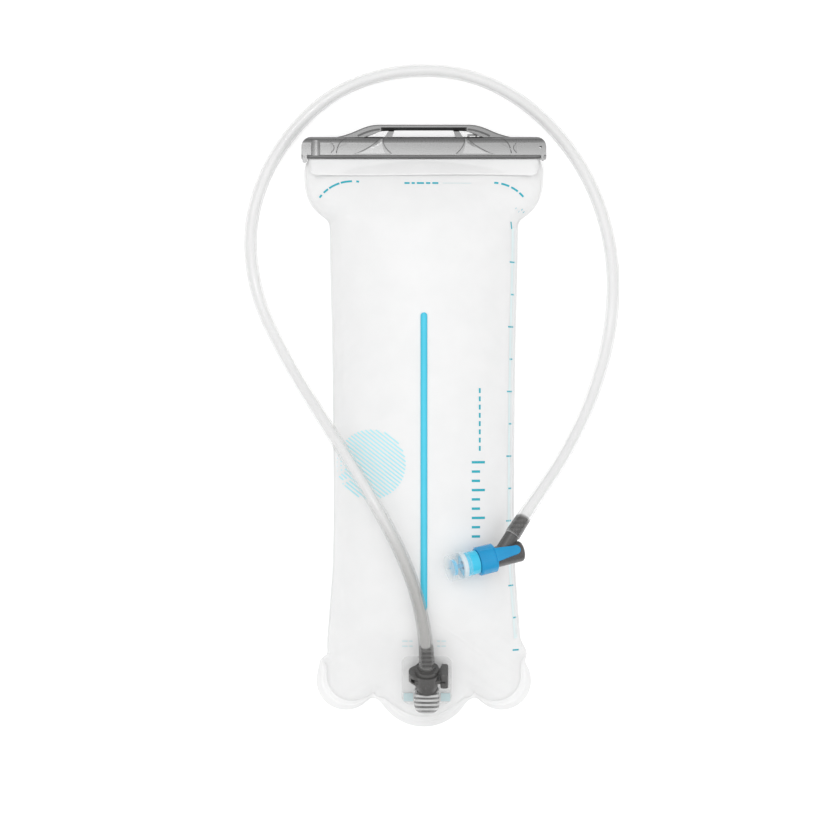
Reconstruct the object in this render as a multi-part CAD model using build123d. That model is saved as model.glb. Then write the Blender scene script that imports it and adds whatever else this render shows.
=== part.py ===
"""Hydration bladder with a slide closure, a quick coupler and a drink hose with a bite valve.

Millimetres. The bladder lies on its back: +Z is out of its front face, +Y runs up to
the closure and +X to its right hand. Z = 0 is the table, and the origin is under the
middle of the bladder.
"""

import math
import os

from build123d import *

# ---------------------------------------------------------------- driving dimensions
# Reservoir: two welded film halves that meet in one flat seam.
SEAM_Z = 30.0            # height of the seam plane above the table
FILM = 0.7               # wall of the film halves
FLANGE = 0.6             # each half's share of the welded edge
BAG_FOOT_Y = -194.0      # lower end of the inflated part
BAG_HEAD_Y = 186.3       # upper end of the inflated part, just under the slide bar

# Cross sections of the inflated bag:
# (y, half width, half width of the level crown, height of the crown above the seam)
FRONT_SECTIONS = [
    (-194.0, 26.0, 22.0, 4.65),
    (-185.0, 60.0, 22.0, 10.5),
    (-176.0, 66.5, 22.0, 16.34),
    (-156.0, 65.5, 22.0, 29.31),
    (-140.0, 63.5, 15.0, 38.5),
    (-122.0, 61.0, 10.0, 43.0),
    (-95.0, 59.0, 8.0, 44.0),
    (60.0, 60.5, 8.0, 44.0),
    (120.0, 61.5, 8.0, 42.5),
    (140.0, 62.5, 10.0, 39.0),
    (153.0, 71.0, 20.0, 32.0),
    (168.0, 78.5, 40.0, 20.0),
    (180.0, 79.5, 60.0, 9.0),
    (186.3, 79.5, 68.0, 3.5),
]
REAR_SECTIONS = [
    (-194.0, 26.0, 18.0, 3.0),
    (-185.0, 60.0, 30.0, 9.0),
    (-176.0, 66.5, 34.0, 15.0),
    (-156.0, 65.5, 34.0, 24.0),
    (-130.0, 62.0, 34.0, 30.0),
    (-95.0, 59.0, 34.0, 30.0),
    (60.0, 60.5, 34.0, 30.0),
    (120.0, 61.5, 34.0, 30.0),
    (140.0, 62.5, 34.0, 28.0),
    (153.0, 71.0, 36.0, 23.0),
    (168.0, 78.5, 44.0, 15.0),
    (180.0, 79.5, 60.0, 7.0),
    (186.3, 79.5, 68.0, 3.5),
]

# Slide bar with its carrying handle.
BAR_LENGTH = 171.0
BAR_Y0 = 186.8           # lower lip
BAR_Y1 = 202.2           # top of the bar
BAR_DEPTH = 16.0         # front to back
HANDLE_TOP_Y = 210.6
HANDLE_DEPTH = 9.0
HANDLE_GAP_Y = 206.8     # underside of the handle
RAIL_LENGTH = 160.0
RAIL_Y0 = 189.8
RAIL_Y1 = 197.6
RAIL_HALF_DEPTH = 3.8    # seam plane to the outer face of a rail

# Port and coupler: one axis that leans out of the front face.
PORT_X = 2.0
PORT_SLOPE = 33.0        # slope of the bag's lower face and of the coupler axis, degrees
PORT_PLATE_Y = -176.5    # centre of the welded plate
COLLAR_TOP_Y = -169.6    # centre of the collar's top face
AXIS_HEIGHT = 11.2       # coupler axis above the bag's face
NOSE_R = 5.65            # plug nose
NOSE_BORE_R = 5.75
STEM_R = 7.1             # coupler stem in the socket
SOCKET_BORE_R = 7.3
SOCKET_R = 8.4
LATCH_FLAT_X = 7.4       # flat on the collar behind the latch's thumb tab
TAB_X0 = 9.4             # inner face of the thumb tab, clear of the flat when pressed 1.5 mm
TAB_X1 = 14.9

# Drink hose, 3/8 inch outside and 1/4 inch inside.
HOSE_R = 4.75
HOSE_BORE_R = 3.2
HOSE_START = 4.3         # hose end above the collar, along the coupler axis

# Bite valve.
VALVE_END = (67.4, -86.0, 67.6)   # centre of the elbow's outer end face
VALVE_HEADING = 193.0    # direction of the mouthpiece in plan, degrees from +X
VALVE_RISE = 20.0        # the mouthpiece end lies higher, on the bag's crown
LEG_HEADING = 57.0       # direction of the hose leg in plan
LEG_DROP = 12.0          # fall of the hose leg below level
LEG_JOIN = 17.5          # where the leg's axis meets the barrel's axis
LEG_LENGTH = 17.6
LEG_R = 5.0
BARREL_R = 7.2           # elbow barrel, inside the sleeve
SLEEVE_R = 10.0
SLEEVE_FROM = 21.7
SLEEVE_TO = 33.9
COLLET_R = 8.3           # blue barrel between the sleeve and the mouthpiece
MOUTH_FROM = 40.6
MOUTH_TO = 54.8
MOUTH_R = 9.0
LEVER_ANGLE = 12.0       # lever at rest, from straight up towards the hose leg


# ---------------------------------------------------------------- frames
def direction(heading, rise):
    """Unit vector from a heading in plan and a rise above level, in degrees."""
    flat = math.cos(math.radians(rise))
    return Vector(
        flat * math.cos(math.radians(heading)),
        flat * math.sin(math.radians(heading)),
        math.sin(math.radians(rise)),
    )


SLOPE_TAN = math.tan(math.radians(PORT_SLOPE))
SLOPE_UP = direction(90.0, PORT_SLOPE)
SLOPE_OUT = direction(-90.0, 90.0 - PORT_SLOPE)


def slope_point(y):
    """Point on the bag's sloping lower face, in the port's plane of symmetry."""
    foot = FRONT_SECTIONS[0]
    return Vector(PORT_X, y, SEAM_Z + foot[3] + (y - foot[0]) * SLOPE_TAN)


# Plate frame: X across, Y up the slope, Z out of the film.
PLATE = Plane(origin=slope_point(PORT_PLATE_Y), x_dir=(1, 0, 0), z_dir=SLOPE_OUT)
# Coupler frame: Z along the axis out of the collar, Y towards the bag.
COUPLER = Plane(
    origin=slope_point(COLLAR_TOP_Y - SLOPE_OUT.Y * AXIS_HEIGHT) + SLOPE_OUT * AXIS_HEIGHT,
    x_dir=(1, 0, 0),
    z_dir=SLOPE_UP,
)
# Valve frame: Z along the barrel to the mouthpiece, X up.
VALVE_AXIS = direction(VALVE_HEADING, VALVE_RISE)
VALVE_UP = (Vector(0, 0, 1) - VALVE_AXIS * VALVE_AXIS.Z).normalized()
VALVE = Plane(origin=VALVE_END, x_dir=VALVE_UP, z_dir=VALVE_AXIS)
# Leg frame: Z along the hose leg.
LEG_AXIS = direction(LEG_HEADING, -LEG_DROP)
LEG = Plane(origin=Vector(*VALVE_END) + VALVE_AXIS * LEG_JOIN, z_dir=LEG_AXIS)


# ---------------------------------------------------------------- small helpers
def tube(frame, start, end, outer, inner=0.0):
    """Cylinder or tube along a frame's Z axis."""
    length = end - start
    place = frame * Pos(0, 0, start + length / 2)
    body = place * Cylinder(outer, length)
    if inner:
        body -= place * Cylinder(inner, length + 1)
    return body


def block(x0, x1, y0, y1, z0, z1):
    """Box between two corners."""
    return Pos((x0 + x1) / 2, (y0 + y1) / 2, (z0 + z1) / 2) * Box(x1 - x0, y1 - y0, z1 - z0)


def ring(frame, station, centre_r, section_r):
    """O-ring round a frame's Z axis."""
    return frame * Pos(0, 0, station) * Torus(centre_r, section_r)


def coil(frame, start, length, radius, wire, turns):
    """Round-wire compression spring along a frame's Z axis."""
    path = Pos(0, 0, start) * Helix(length / turns, length, radius)
    section = Plane(origin=path @ 0, z_dir=path % 0) * Circle(wire)
    return frame * sweep(section, path=path, is_frenet=True)


def export(node, shape):
    """Write one named sub-part."""
    export_step(shape, f"parts/{node}.step")


# ---------------------------------------------------------------- reservoir
def section_wire(y, half_width, crown, height, side):
    """Half of the bag's cross section; side is +1 for the front and -1 for the rear."""
    plane = Plane(origin=(0, y, SEAM_Z), x_dir=(1, 0, 0), z_dir=(0, -1, 0))
    shoulder = half_width - crown
    left = 90 if side > 0 else 180
    right = 0 if side > 0 else 270
    edges = [
        plane * EllipticalCenterArc((-crown, 0), shoulder, height, left),
        plane * Line((-crown, side * height), (crown, side * height)),
        plane * EllipticalCenterArc((crown, 0), shoulder, height, right),
        plane * Line((half_width, 0), (-half_width, 0)),
    ]
    return Wire(edges)


def dome(sections, side, wall=0.0):
    """Closed half of the inflated bag; wall > 0 gives the hollow inside it."""
    wires = []
    for index, (y, half_width, crown, height) in enumerate(sections):
        end_inset = wall if index == 0 else -wall if index == len(sections) - 1 else 0.0
        inner_crown = min(crown, half_width - wall - 1.0)
        wires.append(
            section_wire(y + end_inset, half_width - wall, inner_crown, height - wall, side)
        )
    return Solid.make_loft(wires, ruled=True)


def bag_outline():
    """Outline of the welded edge, with its flared top and three lobes at the bottom."""
    side_points = [
        (79.8, RAIL_Y1),
        (80.5, 186.0),
        (83.3, 176.0),
        (79.5, 158.0),
        (69.5, 147.5),
        (66.0, 138.0),
        (64.0, 66.0),
        (62.3, 0.0),
        (62.7, -94.0),
        (66.5, -129.0),
        (70.3, -163.0),
    ]
    side = Polyline(*side_points)
    corner_lobe = ThreePointArc((70.3, -163.0), (75.3, -177.0), (69.0, -191.0))
    corner_foot = ThreePointArc((69.0, -191.0), (53.5, -198.8), (34.5, -190.2))
    middle_lobe = ThreePointArc((34.5, -190.2), (0.0, -210.6), (-34.5, -190.2))
    half = [side, corner_lobe, corner_foot]
    mirrored = [mirror(curve, about=Plane.YZ) for curve in half]
    top = Line((-79.8, RAIL_Y1), (79.8, RAIL_Y1))
    edges = []
    for curve in half + mirrored + [middle_lobe, top]:
        edges += curve.edges()
    return make_face(edges)


def film_half(sections, side):
    """One half of the reservoir: its bulge and its share of the welded edge."""
    low = SEAM_Z if side > 0 else SEAM_Z - FLANGE
    flange = extrude(Pos(0, 0, low) * bag_outline(), FLANGE)
    return dome(sections, side) + flange - dome(sections, side, wall=FILM)


def bag_front_panel():
    """Front half, open behind the port."""
    flow = tube(COUPLER * Pos(0, 0, -23) * Rot(-90, 0, 0), 0, 20, 2.5)
    return film_half(FRONT_SECTIONS, 1) - flow


def bag_rear_panel():
    """Rear half, flat where it lies on the table."""
    return film_half(REAR_SECTIONS, -1)


def top_flap():
    """Free edge of the mouth, folded down over the front below the slide bar."""
    start = Vector(0, 186.0, 34.9)
    end = Vector(0, 174.6, 45.0)
    along = end - start
    frame = Plane(origin=(start + end) / 2, x_dir=(1, 0, 0), z_dir=(0, -along.Z, along.Y))
    band = RectangleRounded(160.6, along.length, 5.0)
    return frame * extrude(band, -0.8)


def baffle_strip(sections, side):
    """Press-to-close strip along the inside of a film half."""
    low, high, half_width, depth = -126.8, 78.3, 2.2, 1.8

    def crown_at(y):
        for (y0, _, _, h0), (y1, _, _, h1) in zip(sections, sections[1:]):
            if y0 <= y <= y1:
                return h0 + (h1 - h0) * (y - y0) / (y1 - y0)
        raise ValueError(y)

    stations = [low] + [s[0] for s in sections if low < s[0] < high] + [high]
    outer = [(y, SEAM_Z + side * (crown_at(y) - FILM - 0.1)) for y in stations]
    inner = [(y, z - side * depth) for y, z in reversed(outer)]
    profile = Plane.YZ * make_face(Polyline(*outer, *inner, close=True).edges())
    return Pos(-half_width, 0, 0) * extrude(profile, 2 * half_width)


def rail(side):
    """Stiff bead welded to the film edge, which the slide bar grips."""
    z0, z1 = sorted((SEAM_Z + side * (FLANGE + 0.05), SEAM_Z + side * RAIL_HALF_DEPTH))
    body = block(-RAIL_LENGTH / 2, RAIL_LENGTH / 2, RAIL_Y0, RAIL_Y1, z0, z1)
    outer = body.edges().filter_by(Axis.X).group_by(Axis.Z)[-1 if side > 0 else 0]
    return chamfer(outer, 0.8)


# ---------------------------------------------------------------- slide bar
def bar_section():
    """Section of the bar across its length, drawn as Y against Z."""
    half = BAR_DEPTH / 2
    outline = Polyline(
        (BAR_Y0, SEAM_Z - half + 1.3),
        (BAR_Y0 + 1.8, SEAM_Z - half + 1.0),
        (BAR_Y0 + 2.4, SEAM_Z - half),
        (BAR_Y1, SEAM_Z - half),
        (BAR_Y1, SEAM_Z + half),
        (BAR_Y0 + 2.4, SEAM_Z + half),
        (BAR_Y0 + 1.8, SEAM_Z + half - 1.0),
        (BAR_Y0, SEAM_Z + half - 1.3),
        close=True,
    )
    face = make_face(outline.edges())
    shoulders = [v for v in face.vertices() if v.X > BAR_Y1 - 1]
    return fillet(shoulders, 5.6)


def bar_front_outline():
    """Outline of the bar seen from the front, with its rounded ends."""
    half = BAR_LENGTH / 2
    box = make_face(
        Polyline(
            (-half, BAR_Y0), (half, BAR_Y0), (half, BAR_Y1), (-half, BAR_Y1), close=True
        ).edges()
    )
    upper = [v for v in box.vertices() if v.Y > BAR_Y1 - 1]
    return fillet(upper, 7.5)


def handle():
    """Carrying handle: a low arch with one wide slot and two slanted windows."""
    arch = make_face(
        [
            Spline((-68.0, 201.0), (-50.0, 205.2), (-31.0, HANDLE_TOP_Y),
                   tangents=[(1, 0.1), (1, 0)]),
            Line((-31.0, HANDLE_TOP_Y), (31.0, HANDLE_TOP_Y)),
            Spline((31.0, HANDLE_TOP_Y), (50.0, 205.2), (68.0, 201.0),
                   tangents=[(1, 0), (1, -0.1)]),
            Line((68.0, 201.0), (-68.0, 201.0)),
        ]
    )
    slot = Polyline(
        (-23.0, 200.0), (23.0, 200.0), (20.6, HANDLE_GAP_Y), (-20.6, HANDLE_GAP_Y), close=True
    )
    arch -= make_face(slot.edges())
    for sign in (-1, 1):
        window = Polyline(
            (sign * 46.0, 200.0),
            (sign * 28.5, 200.0),
            (sign * 24.5, HANDLE_GAP_Y - 0.3),
            (sign * 31.0, HANDLE_GAP_Y - 0.6),
            close=True,
        )
        arch -= make_face(window.edges())
    body = extrude(Pos(0, 0, SEAM_Z - HANDLE_DEPTH / 2) * arch, HANDLE_DEPTH)
    rim = body.edges().filter_by(Axis.X).group_by(Axis.Y)[-1]
    body = fillet(rim, 1.0)
    # The grip's lower half slopes back from the front and from the rear.
    for side in (-1, 1):
        wedge = Polyline(
            (HANDLE_GAP_Y - 1.0, SEAM_Z + side * (HANDLE_DEPTH / 2 - 4.4)),
            (HANDLE_GAP_Y + 2.0, SEAM_Z + side * (HANDLE_DEPTH / 2 + 0.2)),
            (HANDLE_GAP_Y - 1.0, SEAM_Z + side * (HANDLE_DEPTH / 2 + 0.2)),
            close=True,
        )
        cut = Plane.YZ * make_face(wedge.edges())
        body -= Pos(-30, 0, 0) * extrude(cut, 60)
    return body


def strut_foot(sign):
    """Raised triangle where a handle strut runs out on the bar's front face."""
    apex, outer, inner = (sign * 28.9, 200.6), (sign * 49.5, 189.8), (sign * 23.2, 189.8)
    edges = [
        ThreePointArc(apex, (sign * 37.4, 194.2), outer),
        Line(outer, inner),
        ThreePointArc(inner, (sign * 27.6, 194.4), apex),
    ]
    return extrude(Pos(0, 0, SEAM_Z) * make_face(edges), BAR_DEPTH / 2 + 0.8)


def groove(sign, foot_x, head_x):
    """Shallow curved line on the bar's front face near one end."""
    path = Spline((foot_x * sign, 189.6), (head_x * sign, 198.0), tangents=[(0, 1), (-sign, 1)])
    line = trace(path, 0.8)
    return extrude(Pos(0, 0, SEAM_Z + BAR_DEPTH / 2 - 0.5) * line, 1.0)


def slide_bar():
    """The slide closure: channel, handle, end teeth and the tether eye."""
    half = BAR_LENGTH / 2
    profile = Plane.YZ * bar_section()
    body = Pos(-half, 0, 0) * extrude(profile, BAR_LENGTH)
    body &= extrude(bar_front_outline(), SEAM_Z * 2)
    body += handle()
    for sign in (-1, 1):
        body += strut_foot(sign)
        body -= groove(sign, 61.0, 53.0)
        body -= groove(sign, 64.4, 63.2)
    # Shallow hollow behind the left end cap.
    body -= Pos(-75.5, (BAR_Y0 + BAR_Y1) / 2, SEAM_Z + BAR_DEPTH / 2 + 5.2) * Rot(90, 0, 0) * Cylinder(
        6.1, BAR_Y1 - BAR_Y0 - 4.0
    )
    # Channel for the rails, closed by the left end cap and open at the right.
    left = -RAIL_LENGTH / 2 - 0.8
    body -= block(left, half + 1, BAR_Y0 - 1, RAIL_Y0, SEAM_Z - 2.6, SEAM_Z + 2.6)
    body -= block(left, half + 1, RAIL_Y0 - 0.35, RAIL_Y1 + 0.4, SEAM_Z - 4.2, SEAM_Z + 4.2)
    # Teeth at the lower corners, which keep the folded film from creeping out.
    for x0, x1, depth in ((-84.6, -81.6, 3.2), (81.9, 83.9, 2.1)):
        tooth = block(x0, x1, BAR_Y0 - depth, BAR_Y0 + 3.6, SEAM_Z + 7.5, SEAM_Z + 8.9)
        body += chamfer(tooth.edges().filter_by(Axis.Z).group_by(Axis.Y)[0], 0.8)
    # Tether hole through the right end, and the tether eye at the back of the handle.
    body -= Pos(81.6, 194.7, SEAM_Z) * Cylinder(0.9, BAR_DEPTH + 2)
    eye = block(30.5, 37.5, BAR_Y1 - 1.0, BAR_Y1 + 2.2, 26.6, 28.2)
    eye -= block(32.0, 36.0, BAR_Y1, BAR_Y1 + 1.0, 26.0, 29.0)
    return body + eye


# ---------------------------------------------------------------- port and coupler
def port_plate():
    """Stiff plate welded to the film round the port."""
    plate = PLATE * Pos(0, 0, 0.65) * extrude(RectangleRounded(34.6, 41.0, 6.0), 0.6, both=True)
    return plate - tube(COUPLER * Pos(0, 0, -23) * Rot(-90, 0, 0), 0, 20, 2.5)


def port_socket():
    """Clear ribbed socket that carries the coupler, on a short pedestal."""
    body = tube(COUPLER, -30.5, -15.5, SOCKET_R)
    body += COUPLER * block(-5.0, 5.0, 4.0, AXIS_HEIGHT - 1.3, -30.0, -16.0)
    for station in (-28.0, -24.6, -21.2):
        body += tube(COUPLER, station - 0.5, station + 0.5, SOCKET_R + 0.45)
    body -= tube(COUPLER, -29.0, -15.0, SOCKET_BORE_R)
    return body - tube(COUPLER * Pos(0, 0, -23) * Rot(-90, 0, 0), 0, 20, 2.5)


def coupler_body():
    """Dark coupler: stem in the socket, collar with a slot for the latch plate."""
    body = tube(COUPLER, -28.8, -7.0, STEM_R)
    body += tube(COUPLER, -8.5, 0.0, 9.7)
    wing = Pos(-2.6, 0) * SlotOverall(20.0, 15.0)
    body += COUPLER * Pos(0, 0, -6.6) * extrude(wing, 6.6)
    body -= COUPLER * block(LATCH_FLAT_X, 12.0, -12.0, 12.0, -9.0, 1.0)
    body -= COUPLER * block(-10.9, 8.0, -7.75, 7.75, -5.45, -2.55)
    body -= tube(COUPLER, -17.0, 1.0, NOSE_BORE_R)
    body -= tube(COUPLER, -18.3, -16.0, 3.6)
    body -= tube(COUPLER, -27.6, -18.2, 4.7)
    # Outlet of the valve chamber, and the groove of the stem's seal.
    body -= tube(COUPLER * Pos(0, 0, -23) * Rot(-90, 0, 0), 0, 20, 2.0)
    body -= tube(COUPLER, -18.9, -17.5, STEM_R + 1, STEM_R - 0.9)
    return body


def coupler_seal():
    """O-ring between the coupler's stem and the socket."""
    return ring(COUPLER, -18.2, STEM_R - 0.28, 0.45)


def latch_button():
    """Sliding latch: plate round the plug's nose and a thumb tab on the right."""
    plate = Pos(0.7, 0) * Rectangle(18.2, 15.2)
    hole = Pos(0.8, 0) * SlotOverall(14.1, 11.9)
    body = COUPLER * Pos(0, 0, -5.2) * extrude(plate - hole, 2.4)
    face = Pos((TAB_X0 + TAB_X1) / 2, 0) * RectangleRounded(TAB_X1 - TAB_X0, 14.0, 2.0)
    tab = extrude(face, 11.2)
    body += COUPLER * Pos(0, 0, -9.4) * fillet(tab.edges().group_by(Axis.Z)[-1], 0.9)
    # Step above the collar that clears the plug's flange, and the dark slot in the tab.
    body -= COUPLER * block(TAB_X0 - 0.1, TAB_X0 + 0.8, -8.0, 8.0, 0.0, 3.0)
    return body - COUPLER * block(TAB_X0 - 0.1, 12.9, -8.0, -5.8, -5.1, -3.3)


def latch_spring():
    """Small spring that pushes the latch plate outwards."""
    frame = COUPLER * Pos(-10.8, 0, -4.0) * Rot(0, 90, 0)
    return coil(frame, 0.15, 2.0, 0.9, 0.14, 3)


def poppet():
    """Shut-off valve disc with its guide, held open by the plug's probe."""
    return tube(COUPLER, -22.3, -20.4, 4.4) + tube(COUPLER, -25.2, -22.0, 1.4)


def poppet_spring():
    """Spring that closes the poppet when the plug is pulled."""
    return coil(COUPLER, -27.2, 4.5, 2.6, 0.3, 4)


def barb(frame, start, count):
    """Hose barb: a short pipe with raised rings, inside the hose's bore."""
    body = tube(frame, start, start + 14.0, 2.9)
    for number in range(count):
        station = start + 3.0 + number * 3.2
        body += frame * Pos(0, 0, station + 0.8) * Cone(3.1, 2.9, 1.6)
    return body


def plug_body():
    """Plug on the hose: nose, probe, seat flange, hexagon and barb."""
    body = tube(COUPLER, -16.8, 1.0, NOSE_R)
    body += tube(COUPLER, -20.2, -16.0, 3.2)
    body += tube(COUPLER, 0.25, 2.9, 8.3)
    body += COUPLER * Pos(0, 0, 2.8) * extrude(RegularPolygon(6.6, 6), 1.3)
    body += barb(COUPLER, 4.0, 3)
    body -= tube(COUPLER, -5.8, -2.2, NOSE_R + 1, NOSE_R - 0.5)
    body -= tube(COUPLER, -12.1, -10.7, NOSE_R + 1, NOSE_R - 0.9)
    return body - tube(COUPLER, -21.0, 19.0, 1.9)


def plug_seal():
    """O-ring on the plug's nose."""
    return ring(COUPLER, -11.4, NOSE_R - 0.46, 0.43)


# ---------------------------------------------------------------- drink hose
def hose_points():
    """Route from the plug, over the bag, round it on the table and back to the valve."""
    start = COUPLER.origin + SLOPE_UP * HOSE_START
    end = LEG.origin + LEG_AXIS * (LEG_LENGTH + 0.2)
    floor = HOSE_R + 0.15
    middle = [
        (-9.5, -98.0, 89.5),
        (-36.5, -47.0, 87.0),
        (-69.0, 3.0, 56.0),
        (-96.5, 46.0, 21.0),
        (-120.0, 94.0, floor),
        (-124.0, 146.0, floor),
        (-105.0, 195.0, floor),
        (-68.3, 234.6, floor),
        (-19.5, 252.3, floor),
        (34.5, 249.8, floor),
        (82.3, 222.3, floor),
        (116.8, 178.0, floor),
        (134.0, 125.5, floor),
        (133.8, 72.0, floor),
        (119.0, 19.5, 18.0),
        (97.0, -23.0, 43.0),
    ]
    points = [start, start + SLOPE_UP * 26.0]
    points += [Vector(*p) for p in middle]
    points += [end + LEG_AXIS * 27.0, end]
    return points


def hose_radii(points):
    """Bend radius at each corner, as large as its shorter run allows."""
    radii = []
    for before, here, after in zip(points, points[1:], points[2:]):
        arriving, leaving = here - before, after - here
        half_turn = math.radians(arriving.get_angle(leaving)) / 2
        radii.append(0.45 * min(arriving.length, leaving.length) / math.tan(half_turn))
    return radii


def drink_hose():
    """The hose, a tube of constant section along its route."""
    points = hose_points()
    radii = hose_radii(points)
    path = FilletPolyline(*points, radius=radii)
    section = Plane(origin=points[0], z_dir=points[1] - points[0])
    outer = sweep(section * Circle(HOSE_R), path=path)
    inner = sweep(section * Circle(HOSE_BORE_R), path=path)
    print("hose length", round(path.length, 1), "radii", [round(r) for r in radii])
    hose = outer - inner
    expected = math.pi * (HOSE_R**2 - HOSE_BORE_R**2) * path.length
    print("hose volume", round(hose.volume), "expected", round(expected))
    return hose


# ---------------------------------------------------------------- bite valve
def elbow_body():
    """Elbow: barrel, slanted hose leg and barb."""
    barrel = tube(VALVE, 0.0, SLEEVE_TO + 0.2, BARREL_R)
    barrel = fillet(barrel.edges().sort_by(Axis(VALVE.origin, VALVE.z_dir))[0], 1.8)
    body = barrel + tube(LEG, 0.0, LEG_LENGTH, LEG_R)
    body += barb(LEG, LEG_LENGTH - 0.2, 3)
    body -= tube(VALVE, 4.0, SLEEVE_TO + 1.0, 4.6)
    return body - tube(LEG, 0.0, 32.0, 1.9)


def shutoff_sleeve():
    """Turning sleeve with the lever that lies back over the elbow."""
    body = tube(VALVE, SLEEVE_FROM, SLEEVE_TO, SLEEVE_R, BARREL_R + 0.08)
    mouth_rim = body.edges().group_by(Axis(VALVE.origin, VALVE.z_dir))[-1].sort_by(SortBy.LENGTH)[-1]
    body = chamfer(mouth_rim, 1.0)
    turned = VALVE * Rot(0, 0, LEVER_ANGLE)
    shell = tube(turned, 4.3, SLEEVE_FROM + 1.0, SLEEVE_R + 0.6, BARREL_R + 0.45)
    tip = ThreePointArc((-3.1, 8.4), (0.0, 4.4), (3.1, 8.4))
    sides = Polyline((3.1, 8.4), (4.9, SLEEVE_FROM + 1.0), (-4.9, SLEEVE_FROM + 1.0), (-3.1, 8.4))
    outline = make_face(tip.edges() + sides.edges())
    # The outline is drawn across the valve frame's Y and along its Z.
    blank = extrude(Plane.YZ * outline, 12.0, both=True)
    lever = (turned * (blank & block(0.0, 12.0, -8.0, 8.0, 0.0, 40.0))) & shell
    return body + lever


def valve_barrel():
    """Blue barrel that plugs into the elbow and carries the mouthpiece."""
    body = tube(VALVE, SLEEVE_TO + 0.4, 44.6, COLLET_R)
    body += tube(VALVE, 25.0, SLEEVE_TO + 1.0, 4.5)
    body -= tube(VALVE, 27.9, 29.1, 6.0, 3.75)
    return body - tube(VALVE, 24.0, 46.0, 3.0)


def barrel_seal():
    """O-ring on the barrel's spigot."""
    return ring(VALVE, 28.5, 4.17, 0.4)


def bite_core():
    """Blue T-shaped core that keeps the mouthpiece closed."""
    web = VALVE * block(-2.95, 2.95, -0.6, 0.6, 41.0, 45.5)
    return web + tube(VALVE, 45.0, 51.0, 1.5) + tube(VALVE, 50.4, 52.4, 5.6)


def mouthpiece():
    """Clear silicone mouthpiece, stretched over the barrel."""
    body = tube(VALVE, MOUTH_FROM, MOUTH_TO, MOUTH_R)
    body += tube(VALVE, MOUTH_FROM, MOUTH_FROM + 2.0, MOUTH_R + 0.6)
    body -= tube(VALVE, MOUTH_FROM - 1.0, 44.7, COLLET_R + 0.05)
    body -= tube(VALVE, 44.6, MOUTH_TO - 1.4, 7.6)
    return body - VALVE * block(-4.2, 4.2, -0.25, 0.25, MOUTH_TO - 2.0, MOUTH_TO + 1.0)


# ---------------------------------------------------------------- write the parts
PARTS = {
    "bag_front_panel": bag_front_panel,
    "bag_rear_panel": bag_rear_panel,
    "top_flap": top_flap,
    "baffle_strip_front": lambda: baffle_strip(FRONT_SECTIONS, 1),
    "baffle_strip_rear": lambda: baffle_strip(REAR_SECTIONS, -1),
    "rail_front": lambda: rail(1),
    "rail_rear": lambda: rail(-1),
    "slide_bar": slide_bar,
    "port_plate": port_plate,
    "port_socket": port_socket,
    "coupler_body": coupler_body,
    "coupler_seal": coupler_seal,
    "latch_button": latch_button,
    "latch_spring": latch_spring,
    "poppet": poppet,
    "poppet_spring": poppet_spring,
    "plug_body": plug_body,
    "plug_seal": plug_seal,
    "drink_hose": drink_hose,
    "elbow_body": elbow_body,
    "shutoff_sleeve": shutoff_sleeve,
    "valve_barrel": valve_barrel,
    "barrel_seal": barrel_seal,
    "bite_core": bite_core,
    "mouthpiece": mouthpiece,
}

os.makedirs("parts", exist_ok=True)
for node, make in PARTS.items():
    export(node, make())
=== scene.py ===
"""Looks of the hydration bladder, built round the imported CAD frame. Metres."""

import math

import bmesh
import bpy
import numpy as np
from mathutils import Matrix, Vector
from mathutils.bvhtree import BVHTree


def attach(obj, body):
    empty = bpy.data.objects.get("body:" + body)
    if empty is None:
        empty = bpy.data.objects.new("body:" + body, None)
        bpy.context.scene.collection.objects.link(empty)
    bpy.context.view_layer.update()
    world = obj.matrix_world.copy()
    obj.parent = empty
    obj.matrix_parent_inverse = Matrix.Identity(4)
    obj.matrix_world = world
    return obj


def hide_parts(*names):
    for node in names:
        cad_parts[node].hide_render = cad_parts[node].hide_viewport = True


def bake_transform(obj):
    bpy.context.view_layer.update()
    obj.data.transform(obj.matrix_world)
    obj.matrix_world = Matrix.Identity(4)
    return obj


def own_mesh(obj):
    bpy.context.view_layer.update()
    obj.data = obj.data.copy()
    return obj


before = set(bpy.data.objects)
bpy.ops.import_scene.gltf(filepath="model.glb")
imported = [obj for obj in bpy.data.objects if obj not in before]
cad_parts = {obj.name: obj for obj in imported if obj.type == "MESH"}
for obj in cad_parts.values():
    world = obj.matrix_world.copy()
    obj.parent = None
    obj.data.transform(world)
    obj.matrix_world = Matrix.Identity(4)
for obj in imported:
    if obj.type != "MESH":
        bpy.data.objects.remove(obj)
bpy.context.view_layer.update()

# ------------------------------------------------------------------ dimensions, metres
SEAM_Z = 0.030               # plane of the welded edge
FLANGE_HALF = 0.0003         # half the thickness of the welded edge
MOUTH_Y = 0.1866             # where the film enters the slide bar
FAN_Y = -0.135               # below this the film's rows fan out to the bottom edge
LOBE_TOP_Y = -0.160          # below this the welded edge shows as three flat lobes
SIDE_INSET = 0.0013          # inner weld line, in from the cut edge, along the sides
CORNER_INSET = 0.0088        # the same in the corner lobes
MIDDLE_INSET = 0.0074        # and in the middle lobe
NOTCH_X = 0.0335             # notches between the lobes
FILM_ROWS = 46               # rows of points from the middle line to the weld
SAME_POINT = 0.00003         # points of the film nearer than this are merged

# Waves in the film's surface: height and spacing (wavelength / 2 pi), reach from the weld.
PUCKER_HEIGHT = 0.00042      # small puckers that run in from the weld
PUCKER_SPACING = 0.00185
PUCKER_REACH = 0.010
SHOULDER_Y = 0.147           # where the mouth narrows to the body and the film folds
FOLD_HEIGHT = 0.0009
FOLD_SPACING = 0.0024
FOLD_REACH = 0.012
DENT_HEIGHT = 0.00035        # slow dents in the slack film
REST_DEPTH = 0.0294          # the rear half is pressed flat this far below the seam
REST_ROUNDING = 0.0035       # and turns up from the table over about this height

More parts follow.
